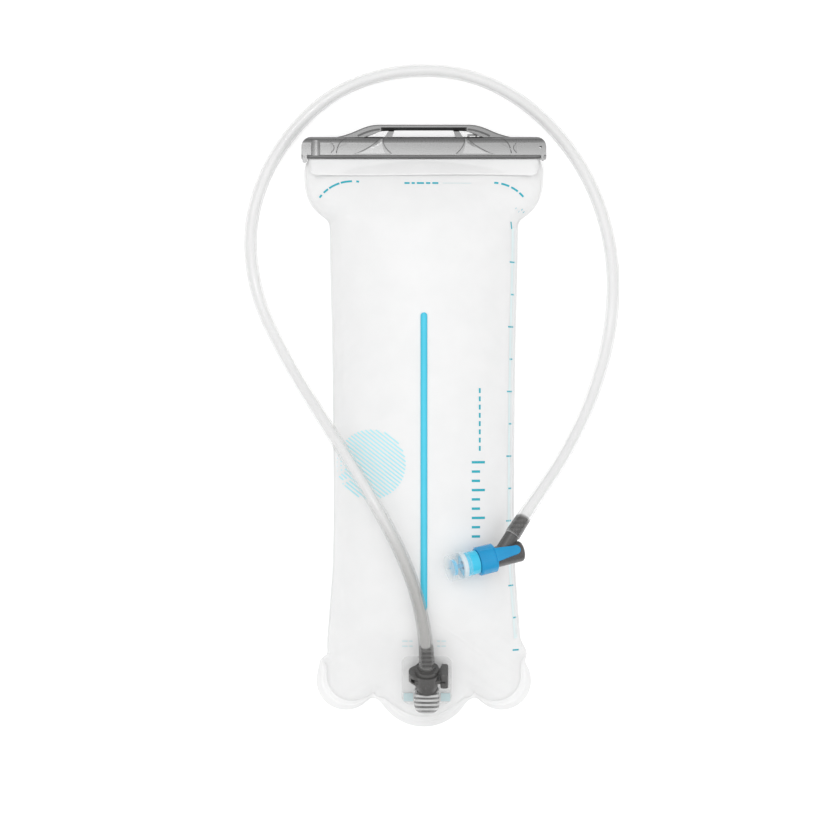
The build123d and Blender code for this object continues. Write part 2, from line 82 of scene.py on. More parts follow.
PORT_X = 0.002
PORT_SLOPE = math.radians(33.0)
PORT_FOOT = (-0.194, 0.03465)    # (y, z) of a point on the port's sloping face
PLATE_HEIGHT = 0.00125       # outer face of the port plate above the film
# The film turns from the port's flat face to the round bag between these.
PORT_FLAT_X = (0.018, 0.031)
PORT_FLAT_LOW = (-0.2005, -0.193)
PORT_FLAT_HIGH = (-0.158, -0.140)

HOSE_DIAMETER = 0.0095
HOSE_BORE = 0.0064
HOSE_SWELL = 1.17            # over the barbs, as a share of the free diameter
HOSE_STEPS = 60              # steps of the tube from one point of the route to the next
HOSE_ROUTE = [               # control points of its line, from the plug to the elbow
    (0.0020, -0.1660, 0.0662),
    (0.0020, -0.1442, 0.0804),
    (-0.0095, -0.0980, 0.0895),
    (-0.0365, -0.0470, 0.0870),
    (-0.0690, 0.0030, 0.0560),
    (-0.0965, 0.0460, 0.0210),
    (-0.1200, 0.0940, 0.0049),
    (-0.1240, 0.1460, 0.0049),
    (-0.1050, 0.1950, 0.0049),
    (-0.0683, 0.2346, 0.0049),
    (-0.0195, 0.2523, 0.0049),
    (0.0345, 0.2498, 0.0049),
    (0.0823, 0.2223, 0.0049),
    (0.1168, 0.1780, 0.0049),
    (0.1340, 0.1255, 0.0049),
    (0.1338, 0.0720, 0.0049),
    (0.1190, 0.0195, 0.0180),
    (0.0970, -0.0230, 0.0430),
    (0.0752, -0.0530, 0.0643),
    (0.0609, -0.0751, 0.0699),
]

BARB_PLACES = [(0.0020, -0.1588, 0.0708), (0.0653, -0.0695, 0.0682)]   # middles of the barbs
BARB_REACH = 0.0084          # the wall is dark this far from there
BARB_FADE = 0.0012
RING_TURNS = 2100.0          # radians of ring pattern per metre
DIM_FROM_Y = -0.030          # painted shade: towards the plug the hose turns greyer, between these
DIM_TO_Y = -0.125
DIM_SIDE_X = (0.020, 0.035)  # and only on the plug's side of this strip

VALVE_END = (0.0674, -0.0860, 0.0676)      # outer end face of the elbow
VALVE_HEADING = math.radians(193.0)
VALVE_RISE = math.radians(20.0)
VALVE_AXIS = Vector((math.cos(VALVE_RISE) * math.cos(VALVE_HEADING),
                     math.cos(VALVE_RISE) * math.sin(VALVE_HEADING), math.sin(VALVE_RISE)))
MOUTH_FROM = 0.0406          # the mouthpiece, along that axis
MOUTH_TO = 0.0548

# Camera: straight above the front face, far away, like the catalogue picture.
CAMERA_AIM = (-0.0051, 0.0066)
CAMERA_HEIGHT = 2.6
FRAME_WIDTH = 0.5831         # width of the picture at the seam plane

RIB_WAVE = 100.0             # painted highlight bands of the port socket: pi / (10 * scale) metres apart
EDGE_SOFTENING = 0.0003      # rounding of the moulded plastics' edges
EDGE_ANGLE = math.radians(35.0)

# Painted shade lines on the slide bar's front, right side, in its grooves and under its handle:
# curves from a to c that pass near b.
SHADE_LINE_CURVES = [            # width of the line, then its curve
    (0.0005, ((0.0310, 0.2006), (0.0375, 0.1950), (0.0479, 0.1898))),
    (0.0005, ((0.0283, 0.2004), (0.0272, 0.1952), (0.0225, 0.1900))),
    (0.0006, ((0.0539, 0.2012), (0.0588, 0.1972), (0.0611, 0.1905))),
    (0.0005, ((0.0647, 0.1976), (0.0626, 0.1942), (0.0647, 0.1908))),
    # painted shade under the handle
    (0.0013, ((0.0288, 0.2073), (0.0370, 0.2062), (0.0462, 0.2026))),
]
LIT_FOOT_SIDES = [               # outer and inner side of the foot under each strut, painted lighter as a highlight
    ((0.0310, 0.2006), (0.0360, 0.1950), (0.0455, 0.1898)),
    ((0.0292, 0.2004), (0.0288, 0.1952), (0.0270, 0.1900)),
]
BAR_SHADE_Y = (0.1895, 0.2010)    # painted shade: the bar's front darkens from the first height to the second
LIP_HALF = 0.0835
LIP_Y = 0.1875
SHADE_LINE_LIFT = 0.00010
LIT_FOOT_LIFT = 0.00006

# Marks on the film, and how far above it each kind lies.
PRINT_LIFT = 0.00012
BAND_LIFT = 0.00014
SCALE_LIFT = 0.00016
STRIP_LIFT = 0.00028
STRIP_LOW = -0.1268
STRIP_HIGH = 0.0783
STRIP_WIDTH = 0.0046
STRIP_THICKNESS = 0.00035
RIBBON_STEP = 0.004          # spacing of points along a straight mark
DISC_CENTRE = (-0.0366, -0.0265)
DISC_RADIUS = 0.0240
DISC_PITCH = 0.00230
DISC_LINE = 0.00090
DISC_ANGLE = math.radians(-38.0)
BARS_X = 0.0330
BARS_TOP_Y = -0.0250
BARS_PITCH = 0.0064
DASHES_X = 0.0386
DASHES_TOP_Y = 0.0262
DASHES_PITCH = 0.0057
DASH_LENGTH = 0.0034
SCALE_TOP_Y = 0.1140
SCALE_PITCH = 0.0225
SCALE_TICKS = 13
FILL_LINE_Y = 0.1688

# Studio light.
WORLD_LOW = 0.46             # strength at the horizon
WORLD_HIGH = 1.11            # and overhead
FLOOR_HALF = 3.0
FLOOR_GLOW = 0.25            # the floor is a lit table, so shadows stay faint
LIGHTS = [                   # name, place, width, power in watts
    ("key_light", (-0.5, 0.9, 3.2), 1.8, 11.5),
    ("fill_light", (1.2, -0.7, 2.8), 1.6, 6.0),
    ("glint_light", (-0.25, 0.45, 1.2), 0.18, 0.7),    # highlights on the glossy plastics
]

scene = bpy.context.scene


# ------------------------------------------------------------------ small helpers
def smooth(x, low, high):
    """Smooth step from 0 at low to 1 at high; arrays are fine."""
    t = np.clip((x - low) / (high - low), 0.0, 1.0)
    return t * t * (3.0 - 2.0 * t)


def link(obj, body=None):
    """Put an object in the scene and let it ride on a CAD body."""
    scene.collection.objects.link(obj)
    if body:
        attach(obj, body)
    return obj


def mesh_object(name, vertices, faces, body, material):
    """Smooth mesh object from plain lists."""
    mesh = bpy.data.meshes.new(name)
    mesh.from_pydata([tuple(v) for v in vertices], [], faces)
    mesh.validate()
    mesh.polygons.foreach_set("use_smooth", [True] * len(mesh.polygons))
    mesh.materials.append(material)
    return link(bpy.data.objects.new(name, mesh), body)


def grid_faces(rows, columns, turned=False, first=0):
    """Quads between the points of a grid, row by row; turned quads face the other way."""
    faces = []
    for row in range(rows - 1):
        for column in range(columns - 1):
            a = first + row * columns + column
            quad = (a, a + 1, a + columns + 1, a + columns)
            faces.append(quad[::-1] if turned else quad)
    return faces


def thicken(obj, thickness):
    """Give a thin piece its thickness, outwards."""
    modifier = obj.modifiers.new("thickness", "SOLIDIFY")
    modifier.thickness = thickness
    modifier.offset = 1.0


def grid_object(name, grid, turned, body, material):
    """Mesh object from a grid of points, an array of rows x columns x 3."""
    faces = grid_faces(*grid.shape[:2], turned)
    return mesh_object(name, grid.reshape(-1, 3), faces, body, material)


# ------------------------------------------------------------------ camera
def make_camera():
    """Long lens looking straight down on the front face."""
    data = bpy.data.cameras.new("camera")
    data.sensor_width = 36.0
    data.lens = data.sensor_width * (CAMERA_HEIGHT - SEAM_Z) / FRAME_WIDTH
    data.clip_end = 20.0
    camera = link(bpy.data.objects.new("camera", data))
    camera.location = (CAMERA_AIM[0], CAMERA_AIM[1], CAMERA_HEIGHT)
    scene.camera = camera


# ------------------------------------------------------------------ materials
def new_material(name):
    """Empty node material with its Principled shader."""
    material = bpy.data.materials.new(name)
    material.use_nodes = True
    tree = material.node_tree
    return material, tree, tree.nodes["Principled BSDF"]


def noise(tree, scale, detail=3.0, stretch=(1.0, 1.0, 1.0)):
    """Noise in the row frame; scale is features per metre."""
    coords = tree.nodes.new("ShaderNodeTexCoord")
    mapping = tree.nodes.new("ShaderNodeMapping")
    mapping.inputs["Scale"].default_value = stretch
    texture = tree.nodes.new("ShaderNodeTexNoise")
    texture.inputs["Scale"].default_value = scale
    texture.inputs["Detail"].default_value = detail
    tree.links.new(coords.outputs["Object"], mapping.inputs["Vector"])
    tree.links.new(mapping.outputs["Vector"], texture.inputs["Vector"])
    return texture.outputs["Fac"]


def remap(tree, value, source, result):
    """Linear map of a pattern from one pair of numbers to another, clamped."""
    node = tree.nodes.new("ShaderNodeMapRange")
    node.inputs["From Min"].default_value = source[0]
    node.inputs["From Max"].default_value = source[1]
    node.inputs["To Min"].default_value = result[0]
    node.inputs["To Max"].default_value = result[1]
    tree.links.new(value, node.inputs["Value"])
    return node.outputs["Result"]


def tint(tree, fac, first, second, target):
    """Mix two colours by a pattern."""
    ramp = tree.nodes.new("ShaderNodeValToRGB")
    ramp.color_ramp.elements[0].position = 0.35
    ramp.color_ramp.elements[1].position = 0.65
    ramp.color_ramp.elements[0].color = (*first, 1.0)
    ramp.color_ramp.elements[1].color = (*second, 1.0)
    tree.links.new(fac, ramp.inputs["Fac"])
    tree.links.new(ramp.outputs["Color"], target)


def bump(tree, shader, height, distance, strength=1.0):
    """Bump of a given depth in metres."""
    node = tree.nodes.new("ShaderNodeBump")
    node.inputs["Strength"].default_value = strength
    node.inputs["Distance"].default_value = distance
    tree.links.new(height, node.inputs["Height"])
    tree.links.new(node.outputs["Normal"], shader.inputs["Normal"])


def film_material(name, alpha):
    """Frosted translucent film: milky, softly glossy, with a fine calendered grain."""
    material, tree, shader = new_material(name)
    tint(tree, noise(tree, 60.0), (0.925, 0.926, 0.926), (0.948, 0.948, 0.948),
         shader.inputs["Base Color"])
    tree.links.new(remap(tree, noise(tree, 900.0, 4.0), (0.3, 0.7), (0.34, 0.46)),
                   shader.inputs["Roughness"])
    shader.inputs["Alpha"].default_value = alpha
    shader.inputs["IOR"].default_value = 1.4
    bump(tree, shader, noise(tree, 1400.0, 2.0), 0.00003, 0.5)
    return material


def plastic_material(name, colour, lighter, roughness, metallic=0.0, grain=1500.0):
    """Moulded plastic with a fine spark-eroded grain; metallic for a silver masterbatch."""
    material, tree, shader = new_material(name)
    tint(tree, noise(tree, 45.0), colour, lighter, shader.inputs["Base Color"])
    tree.links.new(remap(tree, noise(tree, grain, 2.0), (0.3, 0.7),
                         (roughness - 0.05, roughness + 0.06)), shader.inputs["Roughness"])
    shader.inputs["Metallic"].default_value = metallic
    bump(tree, shader, noise(tree, grain), 0.00002, 0.6)
    return material


def clear_material(name, colour, alpha, roughness):
    """Clear or translucent soft plastic, seen through."""
    material, tree, shader = new_material(name)
    lighter = tuple(min(1.0, c * 1.05) for c in colour)
    tint(tree, noise(tree, 80.0), colour, lighter, shader.inputs["Base Color"])
    tree.links.new(remap(tree, noise(tree, 600.0), (0.3, 0.7),
                         (roughness - 0.04, roughness + 0.05)), shader.inputs["Roughness"])
    shader.inputs["Alpha"].default_value = alpha
    shader.inputs["Coat Weight"].default_value = 0.5
    shader.inputs["Coat Roughness"].default_value = 0.08
    bump(tree, shader, noise(tree, 900.0, 2.0), 0.00001, 0.4)
    return material


def slide_material(name, shaded, lit):
    """Silver-grey moulding with painted shade: its colour darkens towards the rolled upper edge.
    """
    material, tree, shader = new_material(name)
    coords = tree.nodes.new("ShaderNodeTexCoord")
    split = tree.nodes.new("ShaderNodeSeparateXYZ")
    tree.links.new(coords.outputs["Object"], split.inputs["Vector"])
    # Painted shade: darker with height, where the bar's upper edge turns away from the light.
    height = remap(tree, split.outputs["Y"], BAR_SHADE_Y, (0.66, 0.34))
    tint(tree, height, (shaded,) * 3, (lit,) * 3, shader.inputs["Base Color"])
    tree.links.new(remap(tree, noise(tree, 1500.0, 2.0), (0.3, 0.7), (0.26, 0.34)),
                   shader.inputs["Roughness"])
    shader.inputs["Metallic"].default_value = 0.85
    bump(tree, shader, noise(tree, 1500.0), 0.00001, 0.25)
    return material


# Opacity along the mouthpiece: (share of its length, alpha); the milky band is its ring.
SILICONE_STEPS = [(0.0, 0.07), (0.18, 0.07), (0.23, 0.55), (0.40, 0.55), (0.45, 0.13),
                  (0.93, 0.13), (1.0, 0.40)]


def silicone_material(name):
    """Clear silicone, milky only at the ring where the mouthpiece leaves the barrel."""
    material, tree, shader = new_material(name)
    coords = tree.nodes.new("ShaderNodeTexCoord")
    along = tree.nodes.new("ShaderNodeVectorMath")
    along.operation = "DOT_PRODUCT"
    along.inputs[1].default_value = VALVE_AXIS
    tree.links.new(coords.outputs["Object"], along.inputs[0])
    start = VALVE_AXIS.dot(Vector(VALVE_END))
    ramp = tree.nodes.new("ShaderNodeValToRGB")
    while len(ramp.color_ramp.elements) < len(SILICONE_STEPS):
        ramp.color_ramp.elements.new(0.5)
    for element, (place, alpha) in zip(ramp.color_ramp.elements, SILICONE_STEPS):
        element.position = place
        element.color = (alpha, alpha, alpha, 1.0)
    tree.links.new(remap(tree, along.outputs["Value"], (start + MOUTH_FROM, start + MOUTH_TO),
                         (0.0, 1.0)), ramp.inputs["Fac"])
    tree.links.new(ramp.outputs["Color"], shader.inputs["Alpha"])
    tint(tree, noise(tree, 80.0), (0.88, 0.95, 0.97), (0.92, 0.97, 0.98),
         shader.inputs["Base Color"])
    tree.links.new(remap(tree, noise(tree, 600.0), (0.3, 0.7), (0.12, 0.20)),
                   shader.inputs["Roughness"])
    bump(tree, shader, noise(tree, 900.0, 2.0), 0.00001, 0.4)
    return material


def ribbed_material(name):
    """Clear socket plastic with painted bands: light bands are painted highlights on its ribs,
    dark bands stand for the dark stem in the gaps.
    """
    material, tree, shader = new_material(name)
    coords = tree.nodes.new("ShaderNodeTexCoord")
    wave = tree.nodes.new("ShaderNodeTexWave")
    wave.bands_direction = "Y"
    wave.inputs["Scale"].default_value = RIB_WAVE
    wave.inputs["Distortion"].default_value = 0.0
    tree.links.new(coords.outputs["Object"], wave.inputs["Vector"])
    # Painted highlight on the ribs, in light and dark bands.
    tint(tree, wave.outputs["Fac"], (0.26, 0.26, 0.26), (0.80, 0.80, 0.80),
         shader.inputs["Base Color"])
    tree.links.new(remap(tree, wave.outputs["Fac"], (0.3, 0.7), (0.50, 0.66)),
                   shader.inputs["Alpha"])
    tree.links.new(remap(tree, noise(tree, 600.0), (0.3, 0.7), (0.10, 0.18)),
                   shader.inputs["Roughness"])
    bump(tree, shader, noise(tree, 900.0, 2.0), 0.00001, 0.4)
    return material


def stored(tree, name):
    """A number stored on the mesh's points."""
    node = tree.nodes.new("ShaderNodeAttribute")
    node.attribute_name = name
    return node.outputs["Fac"]


def mix_colours(tree, fac, first, second):
    """Blend of two colours; each is a colour or another node's output."""
    node = tree.nodes.new("ShaderNodeMix")
    node.data_type = "RGBA"
    tree.links.new(fac, node.inputs["Factor"])
    for socket, colour in ((node.inputs["A"], first), (node.inputs["B"], second)):
        if isinstance(colour, tuple):
            socket.default_value = (*colour, 1.0)
        else:
            tree.links.new(colour, socket)
    return node.outputs["Result"]


def hose_material(name, colour, dim, alpha, wetted):
    """Hose polymer: painted shade greys it towards the plug, and it is dark where a barb fills
    it.
    """
    material, tree, shader = new_material(name)
    plain = mix_colours(tree, stored(tree, "plug_end_shade"), colour, dim)
    # The wall wetted by a barb acts as a lens: the dark barb seems to fill it, its ridges painted
    # as lighter and darker rings.
    barb = mix_colours(tree, stored(tree, "ring"), (0.075, 0.073, 0.072), (0.150, 0.148, 0.145))
    tree.links.new(mix_colours(tree, stored(tree, "barb"), plain, barb),
                   shader.inputs["Base Color"])
    tree.links.new(remap(tree, stored(tree, "barb"), (0.0, 1.0), (alpha, wetted)),
                   shader.inputs["Alpha"])
    tree.links.new(remap(tree, noise(tree, 700.0), (0.3, 0.7), (0.14, 0.22)),
                   shader.inputs["Roughness"])
    shader.inputs["Coat Weight"].default_value = 0.5
    shader.inputs["Coat Roughness"].default_value = 0.1
    bump(tree, shader, noise(tree, 350.0, 2.0), 0.00001, 0.4)
    return material


def make_materials():
    """Every material of the object by name."""
    return {
        "film": film_material("frosted_film", 0.80),
        "flap": film_material("frosted_flap", 0.86),
        "grey": slide_material("grey_plastic", 0.20, 0.31),
        # Lighter copy of the bar's grey: painted highlight on the feet under the handle's struts.
        "lit_facet": slide_material("grey_facet", 0.30, 0.38),
        # Dark grey for painted shade in the bar's grooves, under its handle and under its lip.
        "groove": plastic_material("grey_groove", (0.085, 0.085, 0.085), (0.10, 0.10, 0.10), 0.4),
        "dark": plastic_material("dark_plastic", (0.094, 0.092, 0.091), (0.106, 0.104, 0.102),
                                 0.24, 0.15),
        "blue": plastic_material("blue_plastic", (0.004, 0.27, 0.56), (0.006, 0.31, 0.62), 0.16),
        "barrel": clear_material("blue_barrel", (0.03, 0.56, 0.82), 0.96, 0.14),
        "core": clear_material("blue_core", (0.03, 0.50, 0.80), 0.95, 0.2),
        "strip": plastic_material("blue_strip", (0.062, 0.58, 0.78), (0.072, 0.61, 0.81), 0.45),
        "ink": plastic_material("printed_ink", (0.015, 0.40, 0.50), (0.02, 0.43, 0.53), 0.5),
        "pale_ink": plastic_material("pale_ink", (0.34, 0.74, 0.82), (0.38, 0.78, 0.85), 0.5),
        "scale_band": plastic_material("scale_band", (0.72, 0.83, 0.84), (0.76, 0.86, 0.87), 0.5),
        "pale_teal": plastic_material("pale_teal", (0.56, 0.70, 0.72), (0.60, 0.73, 0.75), 0.5),
        "clear": ribbed_material("clear_plastic"),
        "plate": clear_material("clear_plate", (0.95, 0.95, 0.95), 0.24, 0.25),
        "silicone": silicone_material("clear_silicone"),
        "hose": hose_material("hose_wall", (0.74, 0.74, 0.74), (0.36, 0.358, 0.35), 0.29, 0.78),
        "bore": hose_material("hose_bore", (0.99, 0.99, 0.99), (0.62, 0.615, 0.60), 0.90, 0.78),
        "rubber": plastic_material("seal_rubber", (0.02, 0.02, 0.02), (0.03, 0.03, 0.03), 0.6),
        "steel": plastic_material("spring_steel", (0.5, 0.5, 0.5), (0.6, 0.6, 0.6), 0.3, 1.0),
    }


def dress_node(node, material):
    """Give a carried-over CAD node its material."""
    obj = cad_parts[node]
    obj.data.materials.clear()
    obj.data.materials.append(material)
    return obj


def soften(node):
    """Round the sharp edges of a moulded CAD node, so that they catch the light."""
    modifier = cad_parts[node].modifiers.new("soft_edges", "BEVEL")
    modifier.width = EDGE_SOFTENING
    modifier.segments = 2
    modifier.limit_method = "ANGLE"
    modifier.angle_limit = EDGE_ANGLE
    modifier.harden_normals = False


# ------------------------------------------------------------------ hose
def route_curve(name, diameter):
    """Curve along the hose's route, with a round tube of a given diameter on it."""
    data = bpy.data.curves.new(name, "CURVE")
    data.dimensions = "3D"
    spline = data.splines.new("NURBS")
    spline.points.add(len(HOSE_ROUTE) - 1)
    for point, place in zip(spline.points, HOSE_ROUTE):
        point.co = (*place, 1.0)
    spline.points[0].radius = HOSE_SWELL
    spline.points[-1].radius = HOSE_SWELL
    spline.order_u = 3
    spline.use_endpoint_u = True
    data.resolution_u = HOSE_STEPS
    data.bevel_depth = diameter / 2
    data.bevel_resolution = 8
    return bpy.data.objects.new(name, data)


def mesh_places(mesh):
    """Coordinates of a mesh's points as an array."""
    places = np.empty(3 * len(mesh.vertices))
    mesh.vertices.foreach_get("co", places)
    return places.reshape(-1, 3)


def store(mesh, name, values):
    """Keep one number per point on a mesh."""
    attribute = mesh.attributes.new(name, "FLOAT", "POINT")
    attribute.data.foreach_set("value", values.astype(np.float32))


def make_tube(name, diameter, material):
    """Mesh tube along the hose's route."""
    mesh = bpy.data.meshes.new_from_object(route_curve(name + "_route", diameter))
    mesh.name = name
    mesh.materials.clear()
    mesh.materials.append(material)
    mesh.polygons.foreach_set("use_smooth", [True] * len(mesh.polygons))
    places = mesh_places(mesh)
    # Painted shade: the hose greys towards the plug.
    low = smooth(-places[:, 1], -DIM_FROM_Y, -DIM_TO_Y)
    low *= 1.0 - smooth(places[:, 0], *DIM_SIDE_X)
    away = np.min([np.linalg.norm(places - np.array(p), axis=1) for p in BARB_PLACES], axis=0)
    store(mesh, "plug_end_shade", low)
    store(mesh, "barb", 1.0 - smooth(away, BARB_REACH, BARB_REACH + BARB_FADE))
    store(mesh, "ring", 0.5 + 0.5 * np.sin(places[:, 1] * RING_TURNS))
    tube = link(bpy.data.objects.new(name, mesh))
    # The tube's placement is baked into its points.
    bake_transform(tube)
    return tube


def make_hose(materials):
    """The hose: its wall, its bore seen through the wall, and the line down its middle."""
    wall = make_tube("drink_hose_wall", HOSE_DIAMETER, materials["hose"])
    bore = make_tube("drink_hose_bore", HOSE_BORE, materials["bore"])
    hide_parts("drink_hose")
    line = bpy.data.meshes.new_from_object(route_curve("hose_line", 0.0))
    path = mesh_places(line).tolist()
    bpy.data.meshes.remove(line)
    return wall, bore, path


# ------------------------------------------------------------------ film outline
# Half width of the film's cut edge at heights above the bottom lobes.
EDGE_STATIONS = [
    (0.1866, 0.0810),
    (0.1790, 0.0838),
    (0.1670, 0.0833),
    (0.1577, 0.0808),
    (0.1515, 0.0768),
    (0.1462, 0.0708),
    (0.1432, 0.0662),
    (0.1385, 0.0660),
    (0.1200, 0.0658),
    (0.0660, 0.0645),
    (0.0000, 0.0635),
    (-0.0600, 0.0632),
    (-0.0940, 0.0638),
    (-0.1290, 0.0662),
    (-0.1500, 0.0678),
]
# From there each side steps out to its corner lobe: (half width, height).
LEFT_STEP = [(0.0678, -0.1570), (0.0670, -0.1605), (0.0718, -0.1614), (0.0731, -0.1650)]
RIGHT_STEP = [(0.0712, -0.1550), (0.0728, -0.1595), (0.0702, -0.1645), (0.0722, -0.1675)]
CORNER_LOBE = (0.0545, -0.1780, 0.0208)    # centre x, centre y, radius
MIDDLE_LOBE = (0.0, -0.1762, 0.0344)
CORNER_SWEEP = (20.0, -146.0)    # degrees along each lobe, from outside to inside
MIDDLE_SWEEP = (-27.0, -90.0)
EDGE_SPACING = 0.0018            # points along the finished edge

# Height of the crown above the seam along the bag's middle line.
FRONT_CROWN = [
    (0.1866, 0.0034),
    (0.1800, 0.0090),
    (0.1680, 0.0200),
    (0.1530, 0.0315),
    (0.1400, 0.0385),
    (0.1200, 0.0424),
    (0.0600, 0.0438),
    (-0.0950, 0.0438),
    (-0.1200, 0.0428),
    (-0.1400, 0.0384),
    (-0.1560, 0.0293),
    (-0.1760, 0.0163),
    (-0.1860, 0.0100),
]
REAR_CROWN = [
    (0.1866, 0.0034),
    (0.1800, 0.0070),
    (0.1680, 0.0150),
    (0.1530, 0.0230),
    (0.1400, 0.0285),
    (0.1200, 0.0330),
    (0.0600, 0.0345),
    (-0.1300, 0.0345),
    (-0.1560, 0.0260),
    (-0.1860, 0.0090),
]


def through(stations, y):
    """Smooth value at y of a table of (y, value), by a monotone cubic."""
    table = sorted(stations)
    ys = np.array([s[0] for s in table])
    vs = np.array([s[1] for s in table])
    slopes = np.diff(vs) / np.diff(ys)
    tangents = np.empty(len(ys))
    product = slopes[:-1] * slopes[1:]
    harmonic = 2 * product / (slopes[:-1] + slopes[1:] + 1e-12)
    tangents[1:-1] = np.where(product > 0, harmonic, 0.0)
    tangents[0], tangents[-1] = slopes[0], slopes[-1]
    y = np.clip(y, ys[0], ys[-1])
    i = np.clip(np.searchsorted(ys, y) - 1, 0, len(ys) - 2)
    span = ys[i + 1] - ys[i]
    t = (y - ys[i]) / span
    return ((2 * t**3 - 3 * t**2 + 1) * vs[i] + (t**3 - 2 * t**2 + t) * span * tangents[i]
            + (-2 * t**3 + 3 * t**2) * vs[i + 1] + (t**3 - t**2) * span * tangents[i + 1])


def arc_points(centre_x, centre_y, radius, start, end, count):
    """Points on a circle between two angles in degrees."""
    angles = np.radians(np.linspace(start, end, count))
    return np.stack([centre_x + radius * np.cos(angles), centre_y + radius * np.sin(angles)], 1)


def resample(line, spacing):
    """Even points along a polyline, ends kept."""
    steps = np.linalg.norm(np.diff(line, axis=0), axis=1)
    along = np.concatenate([[0.0], np.cumsum(steps)])
    count = int(round(along[-1] / spacing))
    even = np.linspace(0.0, along[-1], count + 1)
    return np.stack([np.interp(even, along, line[:, k]) for k in range(line.shape[1])], 1)


def relax(line, rounds):
    """Soften the corners of a polyline, ends kept."""
    line = line.copy()
    for _ in range(rounds):
        line[1:-1] = 0.25 * line[:-2] + 0.5 * line[1:-1] + 0.25 * line[2:]
    return line


def half_edge(step):
    """Cut edge from the mouth corner round to the bottom middle, on the right side."""
    ys = np.linspace(EDGE_STATIONS[0][0], EDGE_STATIONS[-1][0], 140)
    side = np.stack([through(EDGE_STATIONS, ys), ys], 1)
    corner = arc_points(*CORNER_LOBE, *CORNER_SWEEP, 60)
    middle = arc_points(*MIDDLE_LOBE, *MIDDLE_SWEEP, 30)
    return np.concatenate([side, np.array(step), corner, middle])


def cut_edge():
    """The film's cut edge, from the right mouth corner round the bottom to the left one."""
    left = half_edge(LEFT_STEP)[::-1][1:] * np.array([-1.0, 1.0])
    line = np.concatenate([half_edge(RIGHT_STEP), left])
    return relax(resample(line, EDGE_SPACING), 3)


def weld_inset(edge):
    """Width of the flat welded edge at each point of the cut edge."""
    x, y = np.abs(edge[:, 0]), edge[:, 1]
    lobe = smooth(-y, -LOBE_TOP_Y, -LOBE_TOP_Y + 0.016)
    corner = smooth(x, NOTCH_X - 0.004, NOTCH_X + 0.006)
    wide = CORNER_INSET * corner + MIDDLE_INSET * (1.0 - corner)
    notch = 1.0 - 0.75 * np.exp(-(((x - NOTCH_X) / 0.0055) ** 2)) * smooth(-y, 0.180, 0.188)
    return SIDE_INSET + (wide * notch - SIDE_INSET) * lobe


def ribs(edge):
    """Lines from the film's middle out to its cut edge: starts, runs, and the share of each
    run that the flat weld takes."""
    starts = np.stack([np.zeros(len(edge)), np.maximum(edge[:, 1], FAN_Y)], 1)
    runs = edge - starts
    return starts, runs, weld_inset(edge) / np.linalg.norm(runs, axis=1)


# ------------------------------------------------------------------ inflated film
PITCH = 0.002                # grid on which the membrane is solved
SOLVER_ROUNDS = 420
SOLVED = 1e-22               # squared residual at which the solver stops


def distance_to_line(x, y, line):
    """Shortest distance from points to a polyline."""
    points = np.stack([x.ravel(), y.ravel()], 1)
    start, run = line[:-1], np.diff(line, axis=0)
    square = (run**2).sum(1)
    best = np.full(len(points), 1e9)
    for a, r, q in zip(start, run, square):
        t = np.clip(((points - a) @ r) / q, 0.0, 1.0)
        gap = points - a - t[:, None] * r
        best = np.minimum(best, (gap**2).sum(1))
    return np.sqrt(best).reshape(x.shape)


def inside_line(x, y, line):
    """Which points lie inside a closed polyline."""
    inside = np.zeros(x.shape, bool)
    for (x0, y0), (x1, y1) in zip(line[:-1], line[1:]):
        if y0 != y1:
            crosses = (y0 > y) != (y1 > y)
            inside ^= crosses & (x < (x1 - x0) * (y - y0) / (y1 - y0) + x0)
    return inside


def solve_membrane(inside):
    """Deflection of a membrane under even pressure, held at its edge (conjugate gradients)."""
    def stiffness(u):
        padded = np.pad(u, 1)
        total = padded[:-2, 1:-1] + padded[2:, 1:-1] + padded[1:-1, :-2] + padded[1:-1, 2:]
        return np.where(inside, 4 * u - total, 0.0)

    u = np.zeros(inside.shape)
    residual = np.where(inside, PITCH**2, 0.0)
    search = residual.copy()
    power = (residual**2).sum()
    for _ in range(SOLVER_ROUNDS):
        pushed = stiffness(search)
        step = power / (search * pushed).sum()
        u += step * search
        residual -= step * pushed
        fresh = (residual**2).sum()
        if fresh < SOLVED:
            break
        search = residual + (fresh / power) * search
        power = fresh
    return u


